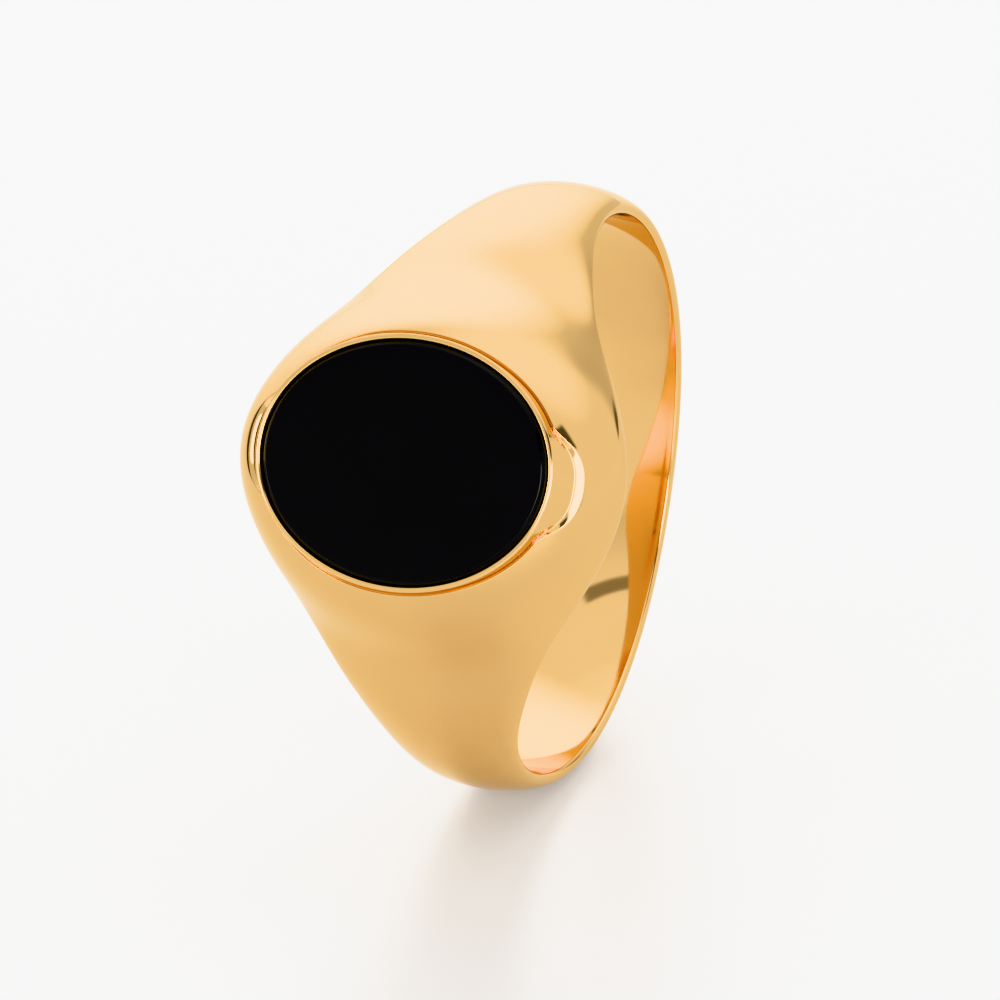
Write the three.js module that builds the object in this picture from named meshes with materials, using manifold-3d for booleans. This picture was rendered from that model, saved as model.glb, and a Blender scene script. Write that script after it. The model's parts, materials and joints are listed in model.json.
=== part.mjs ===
// Oval signet ring: a one-piece cast gold ring whose raised bezel holds a flat black onyx tablet,
// cemented down on the floor of its seat.
//
// Units are millimetres. The origin is the centre of the finger bore, +X runs along the bore and
// +Z is up. The ring stands on the back of its shank with its face turned up by FACE_TILT.
//
// Each piece is first made in the head frame, where +Z is the face's outward direction and +Y
// points round the finger, and the ring group then turns them all together.

import * as THREE from 'three';
import { mergeVertices } from 'three/addons/utils/BufferGeometryUtils.js';
import Module from 'manifold-3d';

// ---- driving dimensions -----------------------------------------------------------------------

const BORE_RADIUS = 9.6;          // finger size: a 19.2 mm bore
const EDGE_ROUND = 0.25;          // height of the rounding between the bore and the ring's sides
const FACE_TILT = 24.8;           // degrees that the face looks up from the horizontal

const STONE_LENGTH = 10;          // along the finger
const STONE_WIDTH = 8;            // round the finger
const STONE_TABLE_HEIGHT = 12.85; // bore centre to the polished top of the stone
const STONE_THICKNESS = 2.2;
const STONE_BEVEL = 0.3;          // width of the bevel round the table
const STONE_BEVEL_DROP = 0.2;

const RIM_HEIGHT = 12.8;          // bore centre to the top of the bezel
const RIM_WIDTH = 0.21;
const BEZEL_FOOT_HEIGHT = 11.5;   // where the bezel wall is well inside the head
const BEZEL_DRAFT = 0.12;         // outward lean of the bezel wall, per millimetre of depth
const SEAT_CLEARANCE = 0.03;      // between the stone's edge and the bezel
const SEAT_FLOOR_HEIGHT = 10.44;  // 0.84 mm of gold is left over the bore
const GLUE_THICKNESS = 0.15;
const GLUE_MARGIN = 0.2;          // how far the glue stays inside the stone's outline
const CONTACT_GAP = 0.03;

// Sections of the ring round the finger, counted in degrees from the middle of the face. Crest is
// the gold's thickness over the bore, and taper shapes the crown: 0.5 is an ellipse, and a larger
// value has flatter flanks. Edge is how far the rounding of the bore's edge reaches along the
// finger. The crest of the first section is cut away to the level of the rim.
//
// The half-widths, crests and tapers, and FACE_TILT above, are the rounded result of a scratch
// program's least-squares fit of the ring's outline to the photograph. The edges were set by hand.
const SECTIONS = [
  { angle: 0, halfWidth: 6.70, crest: 4.09, taper: 0.44, edge: 0.25 },
  { angle: 20, halfWidth: 5.60, crest: 3.66, taper: 0.70, edge: 0.25 },
  { angle: 33, halfWidth: 4.30, crest: 1.85, taper: 0.85, edge: 0.28 },
  { angle: 45, halfWidth: 3.41, crest: 1.34, taper: 0.85, edge: 0.32 },
  { angle: 60, halfWidth: 2.57, crest: 1.11, taper: 0.75, edge: 0.40 },
  { angle: 90, halfWidth: 1.95, crest: 0.89, taper: 0.55, edge: 0.50 },
  { angle: 130, halfWidth: 1.73, crest: 0.85, taper: 0.43, edge: 0.55 },
  { angle: 180, halfWidth: 1.49, crest: 1.19, taper: 0.45, edge: 0.55 },
];

// ---- mesh resolution --------------------------------------------------------------------------

const RING_STEPS = 84;
const CROWN_STEPS = 16;
const EDGE_STEPS = 3;
const BORE_STEPS = 3;
const OVAL_STEPS = 64;

const GOLD = new THREE.MeshStandardMaterial({ color: 0xf0b860, roughness: 0.08, metalness: 1 });
const ONYX = new THREE.MeshStandardMaterial({ color: 0x050506, roughness: 0.05, metalness: 0 });
const GLUE = new THREE.MeshStandardMaterial({ color: 0xd9cfa8, roughness: 0.3, metalness: 0 });

const wasm = await Module();
wasm.setup();

// ---- helpers ----------------------------------------------------------------------------------

// Smooth curve through the sections' values of one key. The ring is symmetric about the face and
// about its back, so the curve is level at 0 and at 180 degrees.
function curveThrough(key) {
  const x = SECTIONS.map((section) => THREE.MathUtils.degToRad(section.angle));
  const y = SECTIONS.map((section) => section[key]);
  const last = x.length - 1;
  const step = (i) => x[i + 1] - x[i];
  const rise = (i) => (y[i + 1] - y[i]) / step(i);

  // Slopes that keep the curvature continuous, by forward elimination and back substitution.
  const slope = new Array(x.length).fill(0);
  const factor = new Array(x.length).fill(0);
  for (let i = 1; i < last; i += 1) {
    const pivot = 2 * (step(i - 1) + step(i)) - step(i) * factor[i - 1];
    const load = 3 * (step(i) * rise(i - 1) + step(i - 1) * rise(i));
    factor[i] = step(i - 1) / pivot;
    slope[i] = (load - step(i) * slope[i - 1]) / pivot;
  }
  slope[last] = 0;
  for (let i = last - 1; i > 0; i -= 1) {
    slope[i] -= factor[i] * slope[i + 1];
  }

  return (angle) => {
    const a = Math.abs(Math.atan2(Math.sin(angle), Math.cos(angle)));
    let i = 0;
    while (i < last - 1 && a > x[i + 1]) i += 1;
    const t = (a - x[i]) / step(i);
    const s = 1 - t;
    return s * s * (1 + 2 * t) * y[i] + t * t * (3 - 2 * t) * y[i + 1]
      + step(i) * s * t * (s * slope[i] - t * slope[i + 1]);
  };
}

const halfWidthAt = curveThrough('halfWidth');
const crestAt = curveThrough('crest');
const taperAt = curveThrough('taper');
const edgeAt = curveThrough('edge');

function toSolid(geometry) {
  const plain = geometry.clone();
  plain.deleteAttribute('normal');
  plain.deleteAttribute('uv');
  const merged = mergeVertices(plain, 1e-5);
  return new wasm.Manifold(new wasm.Mesh({
    numProp: 3,
    vertProperties: new Float32Array(merged.attributes.position.array),
    triVerts: new Uint32Array(merged.index.array),
  }));
}

function toGeometry(solid) {
  const mesh = solid.getMesh();
  const geometry = new THREE.BufferGeometry();
  geometry.setAttribute('position', new THREE.BufferAttribute(mesh.vertProperties, 3));
  geometry.setIndex(new THREE.BufferAttribute(mesh.triVerts, 1));
  geometry.computeVertexNormals();
  return geometry;
}

// Oval drum along +Z, given by its half-length along X and half-width along Y at each end.
function ovalDrum(low, high, lowHalf, highHalf) {
  const geometry = new THREE.CylinderGeometry(1, 1, high - low, OVAL_STEPS);
  geometry.rotateX(Math.PI / 2);
  geometry.translate(0, 0, (low + high) / 2);
  const position = geometry.attributes.position;
  const middle = (low + high) / 2;
  for (let i = 0; i < position.count; i += 1) {
    const half = position.getZ(i) > middle ? highHalf : lowHalf;
    position.setX(i, position.getX(i) * half.x);
    position.setY(i, position.getY(i) * half.y);
  }
  return geometry;
}

function ovalHalf(margin) {
  return { x: STONE_LENGTH / 2 + margin, y: STONE_WIDTH / 2 + margin };
}

// ---- ring body --------------------------------------------------------------------------------

// Closed section of the ring at an angle round the finger, as points of (x, radius): the crown
// from the +X edge over the crest, then the rounded edges and the straight line of the bore.
function sectionLoop(angle) {
  const width = halfWidthAt(angle);
  const crest = crestAt(angle) - EDGE_ROUND;
  const taper = taperAt(angle);
  const edge = edgeAt(angle);
  const loop = [];
  for (let i = 0; i < CROWN_STEPS; i += 1) {
    const turn = Math.PI * i / CROWN_STEPS;
    const lift = Math.sin(turn) ** (2 * taper);
    loop.push({ x: width * Math.cos(turn), radius: BORE_RADIUS + EDGE_ROUND + crest * lift });
  }
  const flat = width - edge;
  for (let i = 0; i < EDGE_STEPS; i += 1) {
    const turn = Math.PI / 2 * i / EDGE_STEPS;
    loop.push({
      x: -flat - edge * Math.cos(turn),
      radius: BORE_RADIUS + EDGE_ROUND * (1 - Math.sin(turn)),
    });
  }
  for (let i = 0; i < BORE_STEPS; i += 1) {
    loop.push({ x: flat * (2 * i / BORE_STEPS - 1), radius: BORE_RADIUS });
  }
  for (let i = 0; i < EDGE_STEPS; i += 1) {
    const turn = Math.PI / 2 * i / EDGE_STEPS;
    loop.push({
      x: flat + edge * Math.sin(turn),
      radius: BORE_RADIUS + EDGE_ROUND * (1 - Math.cos(turn)),
    });
  }
  return loop;
}

// The band with its shoulders: a torus whose every vertex is moved onto the section at its angle.
function makeBand() {
  const loopSteps = CROWN_STEPS + 2 * EDGE_STEPS + BORE_STEPS;
  const geometry = new THREE.TorusGeometry(1, 0.5, loopSteps, RING_STEPS);
  const { position, uv } = geometry.attributes;
  for (let i = 0; i < position.count; i += 1) {
    const angle = 2 * Math.PI * Math.round(uv.getX(i) * RING_STEPS) / RING_STEPS;
    const loop = sectionLoop(angle);
    const point = loop[Math.round(uv.getY(i) * loopSteps) % loopSteps];
    position.setXYZ(i, point.x, point.radius * Math.sin(angle), point.radius * Math.cos(angle));
  }
  return toSolid(geometry);
}

function makeRingBody() {
  const wallDepth = RIM_HEIGHT - BEZEL_FOOT_HEIGHT;
  const bezel = toSolid(ovalDrum(
    BEZEL_FOOT_HEIGHT,
    RIM_HEIGHT,
    ovalHalf(RIM_WIDTH + BEZEL_DRAFT * wallDepth),
    ovalHalf(RIM_WIDTH),
  ));
  const overRim = new THREE.BoxGeometry(STONE_LENGTH + 2, STONE_WIDTH + 2, 2);
  overRim.translate(0, 0, RIM_HEIGHT + 1);
  const seat = toSolid(ovalDrum(
    SEAT_FLOOR_HEIGHT,
    RIM_HEIGHT + 1,
    ovalHalf(SEAT_CLEARANCE),
    ovalHalf(SEAT_CLEARANCE),
  ));
  return toGeometry(makeBand().subtract(toSolid(overRim)).add(bezel).subtract(seat));
}

// ---- stone and glue ---------------------------------------------------------------------------

// Onyx tablet: a straight-sided oval with a flat back and a narrow bevel round its flat table.
function makeStone() {
  const half = ovalHalf(0);
  const table = (half.x - STONE_BEVEL) / half.x;
  const profile = [
    new THREE.Vector2(0, 0),
    new THREE.Vector2(1, 0),
    new THREE.Vector2(1, STONE_THICKNESS - STONE_BEVEL_DROP),
    new THREE.Vector2(table, STONE_THICKNESS),
    new THREE.Vector2(0, STONE_THICKNESS),
  ];
  const geometry = new THREE.LatheGeometry(profile, OVAL_STEPS);
  geometry.rotateX(Math.PI / 2);
  geometry.scale(half.x, half.y, 1);
  geometry.translate(0, 0, STONE_TABLE_HEIGHT - STONE_THICKNESS);
  return toGeometry(toSolid(geometry));
}

function makeGlue() {
  const low = SEAT_FLOOR_HEIGHT + CONTACT_GAP;
  const half = ovalHalf(-GLUE_MARGIN);
  return toGeometry(toSolid(ovalDrum(low, low + GLUE_THICKNESS, half, half)));
}

// ---- assembly ---------------------------------------------------------------------------------

function piece(name, geometry, material) {
  const mesh = new THREE.Mesh(geometry, material);
  mesh.name = name;
  return mesh;
}

const ring = new THREE.Group();
ring.add(piece('ring_body', makeRingBody(), GOLD));
ring.add(piece('onyx_stone', makeStone(), ONYX));
ring.add(piece('stone_cement', makeGlue(), GLUE));
ring.rotation.x = THREE.MathUtils.degToRad(90 - FACE_TILT);

export default ring;
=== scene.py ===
import json
import math

import bmesh
import bpy
import numpy as np
from mathutils import Matrix, Vector


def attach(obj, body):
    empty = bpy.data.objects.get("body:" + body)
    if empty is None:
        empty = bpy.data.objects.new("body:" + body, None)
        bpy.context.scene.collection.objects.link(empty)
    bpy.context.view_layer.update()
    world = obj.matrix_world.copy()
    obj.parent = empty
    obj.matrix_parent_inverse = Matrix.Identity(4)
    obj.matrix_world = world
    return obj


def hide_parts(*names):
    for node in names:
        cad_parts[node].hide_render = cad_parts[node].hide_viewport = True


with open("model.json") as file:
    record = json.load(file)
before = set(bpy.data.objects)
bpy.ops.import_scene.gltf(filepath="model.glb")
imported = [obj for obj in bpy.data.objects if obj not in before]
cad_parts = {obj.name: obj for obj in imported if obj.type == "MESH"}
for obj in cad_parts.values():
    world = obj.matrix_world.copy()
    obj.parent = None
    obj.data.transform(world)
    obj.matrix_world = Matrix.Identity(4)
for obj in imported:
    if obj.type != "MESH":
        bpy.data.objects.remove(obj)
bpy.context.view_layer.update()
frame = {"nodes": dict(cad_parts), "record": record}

MM = 0.001

# ---- the frame's own sizes, in millimetres ----------------------------------------------------
# The head frame has X along the finger, Y round it and Z out of the face. The ring's body, stone
# and cement are all made in it and then turned into the row frame.

mounts = {mount["name"]: mount for mount in frame["record"]["mounts"]}
FACE = Vector(mounts["stone_table"]["axis"])
ACROSS = Vector(mounts["finger_bore"]["axis"])
ROUND = FACE.cross(ACROSS)
HEAD_TO_ROW = Matrix((ACROSS, ROUND, FACE)).transposed()


def extent(node, direction):
    """Lowest and highest distance of a CAD node along a direction, in millimetres."""
    reach = [vertex.co.dot(direction) / MM for vertex in frame["nodes"][node].data.vertices]
    return min(reach), max(reach)


BORE_RADIUS = mounts["finger_bore"]["dims"]["r_mm"]
STONE_HALF_LENGTH = extent("onyx_stone", ACROSS)[1]
STONE_HALF_WIDTH = extent("onyx_stone", ROUND)[1]
STONE_BACK, STONE_TABLE = extent("onyx_stone", FACE)
CEMENT_BACK, CEMENT_FRONT = extent("stone_cement", FACE)
CEMENT_HALF_LENGTH = extent("stone_cement", ACROSS)[1]
RIM_HEIGHT = extent("ring_body", FACE)[1]
FLOOR_HEIGHT = extent("ring_body", Vector((0, 0, 1)))[0]

# ---- the body's finished surface, in millimetres ----------------------------------------------

# Sections round the finger: degrees from the middle of the face, half-width, crest thickness over
# the bore, taper of the crown, where 0.5 is an ellipse and more has flatter flanks, how far the
# round of the bore's edge reaches along the finger, and how much the bore is domed across.
#
# The half-widths, crests and tapers are those of the CAD, the rounded result of a scratch program's
# least-squares fit of the ring's outline to the photograph. So are the bore's radius, the heights of
# rim and stone and the tilt of the face, which are read from the frame. The last two columns were
# given.
SECTIONS = (
    (0, 6.70, 4.09, 0.44, 0.25, 0.00),
    (20, 5.60, 3.66, 0.70, 0.25, 0.00),
    (33, 4.30, 1.85, 0.85, 0.24, 0.01),
    (45, 3.41, 1.34, 0.85, 0.22, 0.03),
    (60, 2.57, 1.11, 0.75, 0.19, 0.05),
    (90, 1.95, 0.89, 0.55, 0.16, 0.05),
    (130, 1.73, 0.85, 0.43, 0.15, 0.06),
    (180, 1.49, 1.19, 0.45, 0.14, 0.11),
)
EDGE_RISE = 0.25         # height of the bore's edge over the middle of the bore

RIM_WIDTH = 0.21
RIM_INNER_ROUND = 0.06
RIM_OUTER_ROUND = 0.12
RIM_DROP = 0.06          # height of the rounded rim over the top of its wall
RIM_STEPS = 8            # steps over each of the rim's two rounded edges
SEAT_CLEARANCE = 0.03
SEAT_LIP = 0.1           # depth of the first row down the seat's wall under the rim
SEAT_CORNER = 0.02       # bevel between the seat's wall and its floor
CONTACT_GAP = 0.03
SEAT_FLOOR = CEMENT_BACK - CONTACT_GAP

# A scoop at each end of the stone makes room round the bezel, and runs out into a fine groove
# along its sides.
SCOOP_WIDTH = 0.74
SCOOP_FALL = 0.09        # how far the scoop's bed falls from the bezel's foot to its outer edge
SCOOP_SPREAD = 26        # degrees round the oval from the middle of the scoop to its corners
GROOVE_WIDTH = 0.10
GROOVE_DEPTH = 0.06
BEZEL_FOOT = 0.58        # where the bezel's wall ends, as a share of the scoop's width
WALL_CURVE = 1.25        # 1 for a straight wall, more for one that curves in at its foot
BED_STRAIGHT = 0.4       # share of the scoop's fall that is straight, the rest curves down
SCOOP_EDGE_ROUND = 0.03
GROOVE_EDGE_SHARE = 0.3  # what is left of the scoop's edge round along the groove

STONE_BEVEL = 0.17
STONE_BEVEL_DROP = 0.16
CEMENT_BULGE = 0.05      # how far the middle of the cement's edge stands out
CORNER_REACH = 0.03      # how far a corner's rounding reaches along its two sides
MIDDLE_MARGIN = -1.0     # margin of the innermost row, which one flat face closes

HEAD_ANGLE = 40          # degrees each way round the finger that the head's own mesh covers
HEAD_STEPS = 80          # steps over that angle
BAND_STEPS = 280         # steps round the rest of the finger
CROWN_STEPS = 96
EDGE_STEPS = 10
BORE_STEPS = 16
WALL_STEPS = 20
BED_STEPS = 14
SHORE_STEPS = 14
SHORE_REACH = 1.25       # how far out from the bezel the head's rows follow its oval
SHORE_CROWDING = 1.5     # 1 for even rows, more for rows that crowd towards the scoop
FLANK_STEPS = 30
TABLET_STEPS = 288
CORNER_STEPS = 4
CROWN_ROUNDS = 60        # rounds of the search for the crown's point over a place of the face


def smooth_curve(column):
    """Curve with continuous curvature through one column of the sections, level at both ends."""
    x = np.radians([row[0] for row in SECTIONS])
    y = np.array([row[column] for row in SECTIONS], float)
    step = np.diff(x)
    rise = np.diff(y) / step
    count = len(x)
    system = np.eye(count)
    load = np.zeros(count)
    for i in range(1, count - 1):
        system[i, i - 1:i + 2] = step[i], 2 * (step[i - 1] + step[i]), step[i - 1]
        load[i] = 3 * (step[i] * rise[i - 1] + step[i - 1] * rise[i])
    slope = np.linalg.solve(system, load)

    def value(angle):
        a = np.abs(np.arctan2(np.sin(angle), np.cos(angle)))
        i = np.clip(np.searchsorted(x, a, side="right") - 1, 0, count - 2)
        t = (a - x[i]) / step[i]
        s = 1 - t
        return (s * s * (1 + 2 * t) * y[i] + t * t * (3 - 2 * t) * y[i + 1]
                + step[i] * s * t * (s * slope[i] - t * slope[i + 1]))

    return value


half_width = smooth_curve(1)
crest = smooth_curve(2)
taper = smooth_curve(3)
edge_reach = smooth_curve(4)
dome = smooth_curve(5)


def crown(turn, angle):
    """Points of the crown: turn runs across it from the +X edge, angle runs round the finger."""
    lift = np.sin(turn) ** (2 * taper(angle))
    radius = BORE_RADIUS + EDGE_RISE + (crest(angle) - EDGE_RISE) * lift
    x = half_width(angle) * np.cos(turn)
    return np.stack([x, radius * np.sin(angle), radius * np.cos(angle)], -1)


def crown_over(x, y):
    """Turn and angle of the crown's point that lies over (x, y) of the face."""
    height = np.full_like(x, RIM_HEIGHT)
    for _ in range(CROWN_ROUNDS):
        angle = np.arctan2(y, height)
        turn = np.arccos(np.clip(x / half_width(angle), -1, 1))
        point = crown(turn, angle)
        radius = np.hypot(point[..., 1], point[..., 2])
        height = np.sqrt(radius ** 2 - y ** 2)
    return turn, angle


def oval(theta, margin, height):
    """Points at a height on the oval that lies a margin outside the stone's outline."""
    outward = np.stack([STONE_HALF_WIDTH * np.cos(theta), STONE_HALF_LENGTH * np.sin(theta)], -1)
    outward /= np.linalg.norm(outward, axis=-1, keepdims=True)
    x = STONE_HALF_LENGTH * np.cos(theta) + margin * outward[..., 0]
    y = STONE_HALF_WIDTH * np.sin(theta) + margin * outward[..., 1]
    return np.stack([x, y, np.broadcast_to(height, x.shape)], -1)


def crown_height(theta, margin):
    """Height of the crown over the oval that lies a margin outside the stone's outline."""
    place = oval(theta, margin, 0.0)
    return crown(*crown_over(place[:, 0], place[:, 1]))[:, 2]


class BezelFoot:
    """Surface from the bezel's top down its wall, over the scoop's bed and out onto the crown."""

    def __init__(self, theta, top):
        # End is 1 in the middle of a scoop and 0 along the groove.
        aside = np.clip(np.abs(np.sin(theta)) / math.sin(math.radians(SCOOP_SPREAD)), 0, 1)
        self.end = (1 - aside ** 3) ** 2
        self.width = GROOVE_WIDTH + (SCOOP_WIDTH - GROOVE_WIDTH) * self.end
        self.foot = BEZEL_FOOT * self.width
        self.top = top
        self.shore = crown_height(theta, RIM_WIDTH + self.width)

    def rows(self):
        """Distances out from the rim for each row of the mesh, dense where the surface bends."""
        for i in range(WALL_STEPS):
            yield self.foot * i / WALL_STEPS
        for i in range(BED_STEPS):
            yield self.foot + (self.width - self.foot) * i / BED_STEPS
        for i in range(SHORE_STEPS + 1):
            part = (i / SHORE_STEPS) ** SHORE_CROWDING
            yield self.width + (SHORE_REACH - self.width) * part

    def height(self, out, over_crown):
        """Height at distances out from the rim, where the crown alone would be over_crown high."""
        fall = SCOOP_FALL * self.end
        depth = GROOVE_DEPTH * (1 - self.end)
        base = self.shore + fall - depth
        left = np.clip(1 - out / self.foot, 0, 1)
        wall = (self.top - base) * left ** WALL_CURVE
        t = np.clip((out - self.foot) / (self.width - self.foot), 0, None)
        slide = t * (BED_STRAIGHT + (1 - BED_STRAIGHT) * t)
        bed = base - fall * slide + depth * t ** 2 + wall

        # The lower of bed and crown, with the corner between them rounded.
        middle = (bed + over_crown) / 2
        gap = (bed - over_crown) / 2
        edge = SCOOP_EDGE_ROUND * (GROOVE_EDGE_SHARE + (1 - GROOVE_EDGE_SHARE) * self.end)
        merged = middle - np.sqrt(gap ** 2 + (edge / 2) ** 2)
        return np.where(out < self.foot, bed, merged)


def section_loop(angle):
    """Points round the whole section of the band at one angle, from the +X edge over the crest."""
    turn = np.pi * np.arange(CROWN_STEPS + 1) / CROWN_STEPS
    points = [crown(turn, np.full_like(turn, angle))]
    reach = edge_reach(angle)
    flat = half_width(angle) - reach
    domed = BORE_RADIUS + dome(angle)
    bend = np.pi / 2 * np.arange(1, EDGE_STEPS + 1) / EDGE_STEPS
    low_edge = np.stack([
        -flat - reach * np.cos(bend),
        domed + (EDGE_RISE - dome(angle)) * (1 - np.sin(bend)),
    ], -1)
    across = flat * (2 * np.arange(1, BORE_STEPS) / BORE_STEPS - 1)
    bore = np.stack([across, BORE_RADIUS + dome(angle) * (across / flat) ** 2], -1)
    high_edge = low_edge[::-1] * (-1, 1)
    for x, radius in np.concatenate([low_edge, bore, high_edge]):
        points.append(np.array([[x, radius * math.sin(angle), radius * math.cos(angle)]]))
    return np.concatenate(points)


# ---- mesh building ----------------------------------------------------------------------------

class Surface:
    """Vertices and faces gathered row by row, in head-frame millimetres."""

    def __init__(self):
        self.points = []
        self.faces = []

    def add(self, points):
        """Adds a row of vertices and returns their numbers."""
        first = len(self.points)
        self.points.extend(map(tuple, points))
        return list(range(first, len(self.points)))

    def bridge(self, one, other):
        """Quads between two closed rows of vertices of the same length."""
        for i in range(len(one)):
            j = (i + 1) % len(one)
            self.faces.append((one[i], one[j], other[j], other[i]))

    def finish(self, name):
        """Smooth-shaded object of the gathered surface, turned into the row frame."""
        mesh = bpy.data.meshes.new(name)
        points = [HEAD_TO_ROW @ Vector(point) * MM for point in self.points]
        mesh.from_pydata(points, [], self.faces)
        work = bmesh.new()
        work.from_mesh(mesh)
        bmesh.ops.recalc_face_normals(work, faces=work.faces)
        work.to_mesh(mesh)
        work.free()
        mesh.shade_smooth()
        piece = bpy.data.objects.new(name, mesh)
        bpy.context.scene.collection.objects.link(piece)
        return piece


def make_ring_body():
    """The gold casting: a plain band all round, whose crown is remade over the head."""
    surface = Surface()
    head = np.linspace(-HEAD_ANGLE, HEAD_ANGLE, 2 * HEAD_STEPS + 1)
    band = np.linspace(HEAD_ANGLE, 360 - HEAD_ANGLE, BAND_STEPS + 1)[1:-1]
    rings = [surface.add(section_loop(math.radians(degree))) for degree in (*head, *band)]
    loop_size = len(rings[0])
    for i, here in enumerate(rings):
        there = rings[(i + 1) % len(rings)]
        for j in range(CROWN_STEPS if i < 2 * HEAD_STEPS else 0, loop_size):
            k = (j + 1) % loop_size
            surface.faces.append((here[j], here[k], there[k], there[j]))

    # Border of the head: along its +X edge, over the upper shoulder, back along the -X edge and
    # over the lower shoulder, as (step round the finger, step across the crown).
    last = 2 * HEAD_STEPS
    border = [(i, 0) for i in range(HEAD_STEPS, last)]
    border += [(last, step) for step in range(CROWN_STEPS)]
    border += [(i, CROWN_STEPS) for i in range(last, 0, -1)]
    border += [(0, step) for step in range(CROWN_STEPS, 0, -1)]
    border += [(i, 0) for i in range(HEAD_STEPS)]
    border_row = [rings[i][step] for i, step in border]
    border_angle = np.radians([head[i] for i, _ in border])
    border_turn = np.pi * np.array([step for _, step in border]) / CROWN_STEPS

    spread_x = half_width(border_angle) * np.cos(border_turn) / STONE_HALF_LENGTH
    spread_y = RIM_HEIGHT * border_angle / STONE_HALF_WIDTH
    theta = np.arctan2(spread_y, spread_x)

    # Bezel wall, scoop and shore, then the flanks from the last shore row out to the border.
    wall_top = RIM_HEIGHT - RIM_DROP
    bezel_foot = BezelFoot(theta, wall_top)
    rows = []
    for out in bezel_foot.rows():
        place = oval(theta, RIM_WIDTH + out, 0.0)
        turn, angle = crown_over(place[:, 0], place[:, 1])
        points = crown(turn, angle)
        points[:, 2] = bezel_foot.height(out, points[:, 2])
        rows.append(surface.add(points))
    for i in range(1, FLANK_STEPS):
        part = i / FLANK_STEPS
        rows.append(surface.add(crown(
            turn + (border_turn - turn) * part,
            angle + (border_angle - angle) * part,
        )))
    rows.append(border_row)

    # Rounded rim, and the seat inside it.
    rim = []
    bend = np.pi / 2 * np.arange(1, RIM_STEPS + 1) / RIM_STEPS
    for b in bend:
        margin = RIM_WIDTH - RIM_OUTER_ROUND * (1 - math.cos(b))
        rim.append((margin, wall_top + RIM_DROP * math.sin(b)))
    for b in bend[::-1][1:]:
        margin = SEAT_CLEARANCE + RIM_INNER_ROUND * (1 - math.cos(b))
        rim.append((margin, wall_top + RIM_DROP * math.sin(b)))
    rim.append((SEAT_CLEARANCE, wall_top))
    rim.append((SEAT_CLEARANCE, wall_top - SEAT_LIP))
    rim.append((SEAT_CLEARANCE, SEAT_FLOOR + SEAT_CORNER))
    rim.append((SEAT_CLEARANCE - SEAT_CORNER, SEAT_FLOOR))
    rim.append((MIDDLE_MARGIN, SEAT_FLOOR))
    rows = [surface.add(oval(theta, margin, height)) for margin, height in reversed(rim)] + rows
    surface.faces.append(tuple(rows[0]))
    for one, other in zip(rows, rows[1:]):
        surface.bridge(one, other)
    return surface.finish("ring_body_polished")


def rounded(corners):
    """Outline through (margin, height) corners, with every inner corner turned into a curve."""
    outline = [corners[0]]
    for before, corner, after in zip(corners, corners[1:], corners[2:]):
        corner = np.array(corner, float)
        back = np.array(before) - corner
        ahead = np.array(after) - corner
        start = corner + back / np.linalg.norm(back) * CORNER_REACH
        end = corner + ahead / np.linalg.norm(ahead) * CORNER_REACH
        for i in range(CORNER_STEPS + 1):
            t = i / CORNER_STEPS
            outline.append(tuple((1 - t) ** 2 * start + 2 * t * (1 - t) * corner + t * t * end))
    outline.append(corners[-1])
    return outline


def make_oval_tablet(name, corners):
    """Closed oval piece whose outline runs from the middle of its back to its front."""
    surface = Surface()
    theta = 2 * np.pi * np.arange(TABLET_STEPS) / TABLET_STEPS
    rows = [surface.add(oval(theta, margin, height)) for margin, height in rounded(corners)]
    surface.faces.append(tuple(rows[0]))
    surface.faces.append(tuple(rows[-1]))
    for one, other in zip(rows, rows[1:]):
        surface.bridge(one, other)
    return surface.finish(name)


# ---- materials --------------------------------------------------------------------------------

def new_material(name):
    """New material with its node tree's nodes, its links and its shader node."""
    material = bpy.data.materials.new(name)
    material.use_nodes = True
    nodes, links = material.node_tree.nodes, material.node_tree.links
    return material, nodes, links, nodes["Principled BSDF"]


def add_noise(nodes, links, scale, detail):
    """Noise over the piece's own coordinates, from 0 to 1."""
    place = nodes.new("ShaderNodeTexCoord")
    noise = nodes.new("ShaderNodeTexNoise")
    noise.inputs["Scale"].default_value = scale
    noise.inputs["Detail"].default_value = detail
    links.new(place.outputs["Object"], noise.inputs["Vector"])
    return noise.outputs["Fac"]


def add_range(nodes, links, value, low, high):
    """Spreads a factor from 0 to 1 over the values from low to high."""
    ranger = nodes.new("ShaderNodeMapRange")
    ranger.inputs["To Min"].default_value = low
    ranger.inputs["To Max"].default_value = high
    links.new(value, ranger.inputs["Value"])
    return ranger.outputs["Result"]


def gold_material():
    """Mirror-polished yellow gold, with the faint unevenness that a polishing wheel leaves."""
    material, nodes, links, shader = new_material("polished_gold")
    shader.inputs["Metallic"].default_value = 1.0
    shader.inputs["Specular Tint"].default_value = (0.97, 0.88, 0.70, 1)
    clouds = add_noise(nodes, links, 900.0, 2.0)
    mix = nodes.new("ShaderNodeMix")
    mix.data_type = "RGBA"
    mix.inputs["A"].default_value = (0.79, 0.500, 0.203, 1)
    mix.inputs["B"].default_value = (0.81, 0.515, 0.213, 1)
    links.new(clouds, mix.inputs["Factor"])
    links.new(mix.outputs["Result"], shader.inputs["Base Color"])
    haze = add_noise(nodes, links, 2500.0, 4.0)
    links.new(add_range(nodes, links, haze, 0.03, 0.09), shader.inputs["Roughness"])
    return material


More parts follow.
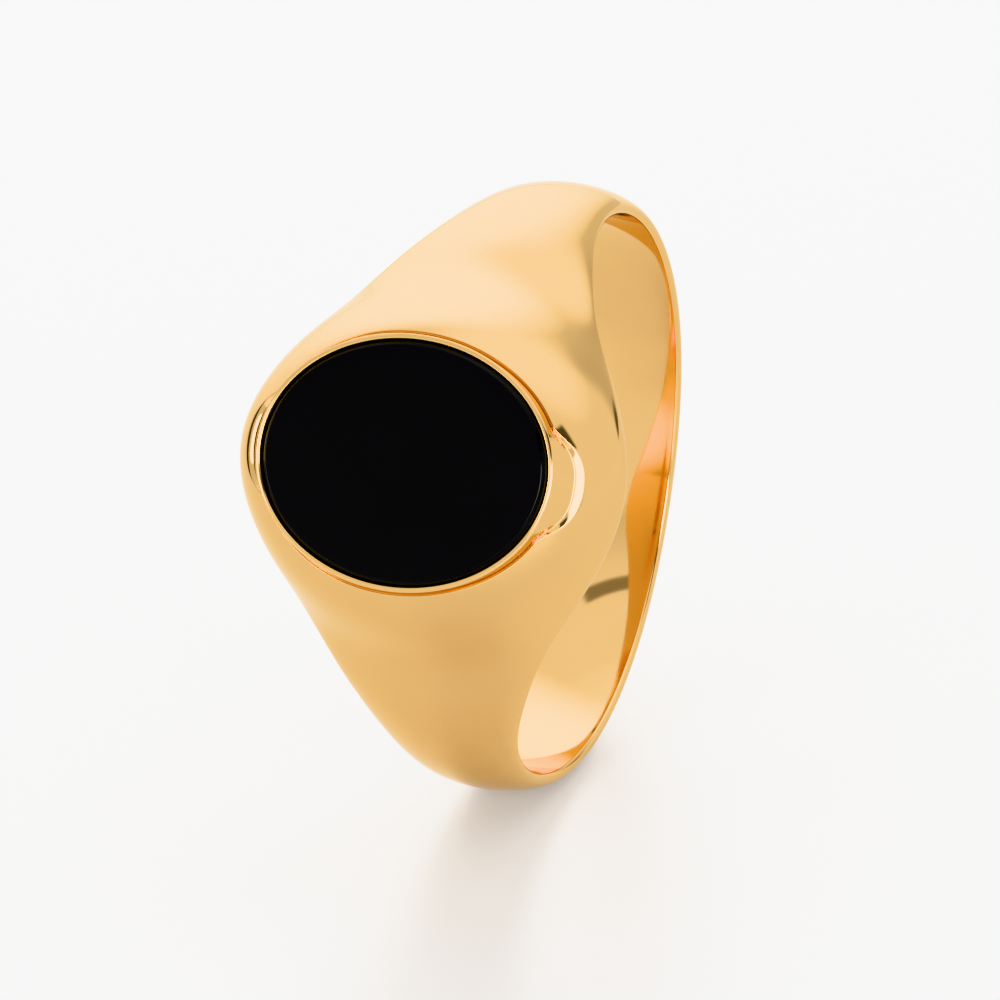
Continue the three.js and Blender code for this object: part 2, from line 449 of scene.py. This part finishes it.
def onyx_material():
    """Polished black onyx: deep black with barely visible darker and lighter bands."""
    material, nodes, links, shader = new_material("black_onyx")
    bands = add_noise(nodes, links, 350.0, 5.0)
    mix = nodes.new("ShaderNodeMix")
    mix.data_type = "RGBA"
    mix.inputs["A"].default_value = (0.0016, 0.0015, 0.0017, 1)
    mix.inputs["B"].default_value = (0.0030, 0.0027, 0.0030, 1)
    links.new(bands, mix.inputs["Factor"])
    links.new(mix.outputs["Result"], shader.inputs["Base Color"])
    shader.inputs["Specular IOR Level"].default_value = 0.17
    polish = add_noise(nodes, links, 3000.0, 3.0)
    links.new(add_range(nodes, links, polish, 0.02, 0.06), shader.inputs["Roughness"])
    return material


def cement_material():
    """Cured clear epoxy, slightly cloudy."""
    material, nodes, links, shader = new_material("clear_cement")
    cloud = add_noise(nodes, links, 1500.0, 3.0)
    mix = nodes.new("ShaderNodeMix")
    mix.data_type = "RGBA"
    mix.inputs["A"].default_value = (0.70, 0.62, 0.42, 1)
    mix.inputs["B"].default_value = (0.82, 0.76, 0.58, 1)
    links.new(cloud, mix.inputs["Factor"])
    links.new(mix.outputs["Result"], shader.inputs["Base Color"])
    shader.inputs["Roughness"].default_value = 0.25
    return material


# ---- pieces -----------------------------------------------------------------------------------

def place_piece(piece, node, material):
    """Gives a piece its material and puts it in the place of a CAD node."""
    piece.data.materials.append(material)
    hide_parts(node)
    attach(piece, "root")


place_piece(make_ring_body(), "ring_body", gold_material())

stone = make_oval_tablet("onyx_tablet", [
    (MIDDLE_MARGIN, STONE_BACK),
    (0.0, STONE_BACK),
    (0.0, STONE_TABLE - STONE_BEVEL_DROP),
    (-STONE_BEVEL, STONE_TABLE),
    (MIDDLE_MARGIN, STONE_TABLE),
])
place_piece(stone, "onyx_stone", onyx_material())

cement_margin = CEMENT_HALF_LENGTH - STONE_HALF_LENGTH
cement = make_oval_tablet("cement_bed", [
    (MIDDLE_MARGIN, CEMENT_BACK),
    (cement_margin - CEMENT_BULGE, CEMENT_BACK),
    (cement_margin, (CEMENT_BACK + CEMENT_FRONT) / 2),
    (cement_margin - CEMENT_BULGE, CEMENT_FRONT),
    (MIDDLE_MARGIN, CEMENT_FRONT),
])
place_piece(cement, "stone_cement", cement_material())


# ---- floor, light and camera ------------------------------------------------------------------

FLOOR_HALF = 1.5         # metres from the middle of the floor to its sides
CAMERA_SENSOR = 36       # millimetres, as is the lens
CAMERA_LENS = 240.2


def make_floor():
    """Pale paper that gives off a little light of its own."""
    mesh = bpy.data.meshes.new("floor")
    half = FLOOR_HALF
    height = FLOOR_HEIGHT * MM
    corners = [(-half, -half, height), (half, -half, height), (half, half, height),
               (-half, half, height)]
    mesh.from_pydata(corners, [], [(0, 1, 2, 3)])
    floor = bpy.data.objects.new("floor", mesh)
    bpy.context.scene.collection.objects.link(floor)
    material, _, _, shader = new_material("white_paper")
    shader.inputs["Base Color"].default_value = (0.45, 0.45, 0.45, 1)
    shader.inputs["Roughness"].default_value = 0.38
    shader.inputs["Specular IOR Level"].default_value = 0.62
    shader.inputs["Emission Color"].default_value = (1, 1, 1, 1)
    shader.inputs["Emission Strength"].default_value = 0.22
    mesh.materials.append(material)


def direction(azimuth, elevation):
    """Unit vector at degrees right of straight in front of the ring, and degrees over the floor."""
    a, e = math.radians(azimuth), math.radians(elevation)
    return math.sin(a) * math.cos(e), -math.cos(a) * math.cos(e), math.sin(e)


class Studio:
    """World light built up from soft round patches, level bands and upright strips."""

    def __init__(self, radiance):
        world = bpy.data.worlds.new("studio")
        bpy.context.scene.world = world
        world.use_nodes = True
        self.nodes = world.node_tree.nodes
        self.links = world.node_tree.links
        self.toward = self.nodes.new("ShaderNodeTexCoord").outputs["Generated"]
        start = self.nodes.new("ShaderNodeValue")
        start.outputs[0].default_value = radiance
        self.radiance = start.outputs[0]

    def fade(self, value, start, end):
        """Smooth factor that is 0 where the value is at start and 1 where it is at end."""
        ranger = self.nodes.new("ShaderNodeMapRange")
        ranger.interpolation_type = "SMOOTHSTEP"
        ranger.inputs["From Min"].default_value = start
        ranger.inputs["From Max"].default_value = end
        self.links.new(value, ranger.inputs["Value"])
        return ranger.outputs["Result"]

    def along(self, azimuth, elevation=0):
        """Cosine of the angle from a direction."""
        dot = self.nodes.new("ShaderNodeVectorMath")
        dot.operation = "DOT_PRODUCT"
        dot.inputs[1].default_value = direction(azimuth, elevation)
        self.links.new(self.toward, dot.inputs[0])
        return dot.outputs["Value"]

    def near(self, azimuth, elevation, inner, outer):
        """Factor that is 1 within inner degrees of a direction and 0 beyond outer degrees."""
        return self.fade(
            self.along(azimuth, elevation),
            math.cos(math.radians(outer)),
            math.cos(math.radians(inner)),
        )

    def level(self, low, high, soft):
        """Factor that is 1 between two elevations and fades over soft degrees outside them."""
        split = self.nodes.new("ShaderNodeSeparateXYZ")
        self.links.new(self.toward, split.inputs[0])
        height = split.outputs["Z"]
        edges = [math.sin(math.radians(e)) for e in (low - soft, low, high, high + soft)]
        return self.times(
            self.fade(height, edges[0], edges[1]),
            self.fade(height, edges[3], edges[2]),
        )

    def upright(self, azimuth, inner, outer):
        """Factor that is 1 within inner degrees of the vertical half-plane at an azimuth."""
        ahead = self.along(azimuth)
        aside = self.along(azimuth + 90)
        offset = self.nodes.new("ShaderNodeMath")
        offset.operation = "ABSOLUTE"
        self.links.new(aside, offset.inputs[0])
        edges = [math.sin(math.radians(e)) for e in (outer, inner)]
        return self.times(self.fade(offset.outputs[0], *edges), self.fade(ahead, 0.0, 0.1))

    def times(self, one, other):
        """Factor that is 1 only where both factors are."""
        product = self.nodes.new("ShaderNodeMath")
        product.operation = "MULTIPLY"
        self.links.new(one, product.inputs[0])
        self.links.new(other, product.inputs[1])
        return product.outputs[0]

    def set(self, factor, radiance):
        """Takes the light to a radiance where the factor is 1."""
        mix = self.nodes.new("ShaderNodeMix")
        mix.inputs["B"].default_value = radiance
        self.links.new(factor, mix.inputs["Factor"])
        self.links.new(self.radiance, mix.inputs["A"])
        self.radiance = mix.outputs["Result"]

    def finish(self):
        """Makes the gathered radiance the strength of the world's white light."""
        self.links.new(self.radiance, self.nodes["Background"].inputs["Strength"])
        self.nodes["Background"].inputs["Color"].default_value = (1, 1, 1, 1)


def make_world():
    """White tent with bright patches behind the ring, soft boxes in front and dark gaps.

    The patches were placed and tuned by hand, from scratch programs' maps of the photograph's
    colours over the directions that the ring reflects.
    """
    studio = Studio(0.9)

    # Even patches: overhead, on the right and in front.
    studio.set(studio.near(0, 90, 20, 60), 1.3)
    studio.set(studio.near(110, 12, 38, 48), 1.15)
    studio.set(studio.near(-24, 8, 10, 22), 1.15)

    # Bright patches behind: low left, high right, and the brightest on the left.
    studio.set(studio.near(-138, 12, 15, 40), 2.0)
    studio.set(studio.near(150, 62, 8, 36), 2.3)
    studio.set(studio.near(-150, 28, 6, 36), 5.0)

    # Dim gap behind on the right with a dark spot in it, and a dark spot on the left.
    studio.set(studio.times(studio.upright(158, 1, 12), studio.level(-2, 22, 22)), 0.75)
    studio.set(studio.near(155, 1, 1, 7), 0.15)
    studio.set(studio.near(-72, 8, 6, 13), 0.05)

    # Soft boxes in front: a small one on the left and a wide one on the right.
    studio.set(studio.near(-43, 17, 7, 10), 9.0)
    studio.set(studio.times(studio.level(12, 30, 2), studio.near(28, 21, 23, 27)), 9.0)

    # Dark bands higher up on the right and on the left.
    studio.set(studio.times(studio.level(35, 46, 2), studio.near(48, 40, 28, 32)), 0.12)
    studio.set(studio.times(studio.level(54, 58, 2), studio.near(-33, 56, 11, 15)), 0.35)
    studio.finish()


def make_camera():
    """Camera in front of the ring, right of its face and over it."""
    # These values and CAMERA_LENS are rounded from the same fit as the sections' half-widths,
    # crests and tapers.
    azimuth, elevation, lean = map(math.radians, (22.17, 22.86, -0.2))
    distance = 23.82 * BORE_RADIUS * MM
    shift_right = 0.1271 * BORE_RADIUS * MM
    shift_up = 0.0476 * BORE_RADIUS * MM
    back = Vector((
        math.sin(azimuth) * math.cos(elevation),
        -math.cos(azimuth) * math.cos(elevation),
        math.sin(elevation),
    ))
    level_right = Vector((math.cos(azimuth), math.sin(azimuth), 0))
    level_up = back.cross(level_right)
    right = math.cos(lean) * level_right + math.sin(lean) * level_up
    up = back.cross(right)
    data = bpy.data.cameras.new("camera")
    data.sensor_width = CAMERA_SENSOR
    data.lens = CAMERA_LENS
    data.clip_start = 0.01
    data.clip_end = 10
    camera = bpy.data.objects.new("camera", data)
    bpy.context.scene.collection.objects.link(camera)
    camera.location = back * distance - right * shift_right - up * shift_up
    camera.rotation_euler = Matrix((right, up, back)).transposed().to_euler()
    bpy.context.scene.camera = camera


make_floor()
make_world()
make_camera()
bpy.context.scene.view_settings.view_transform = "Khronos PBR Neutral"
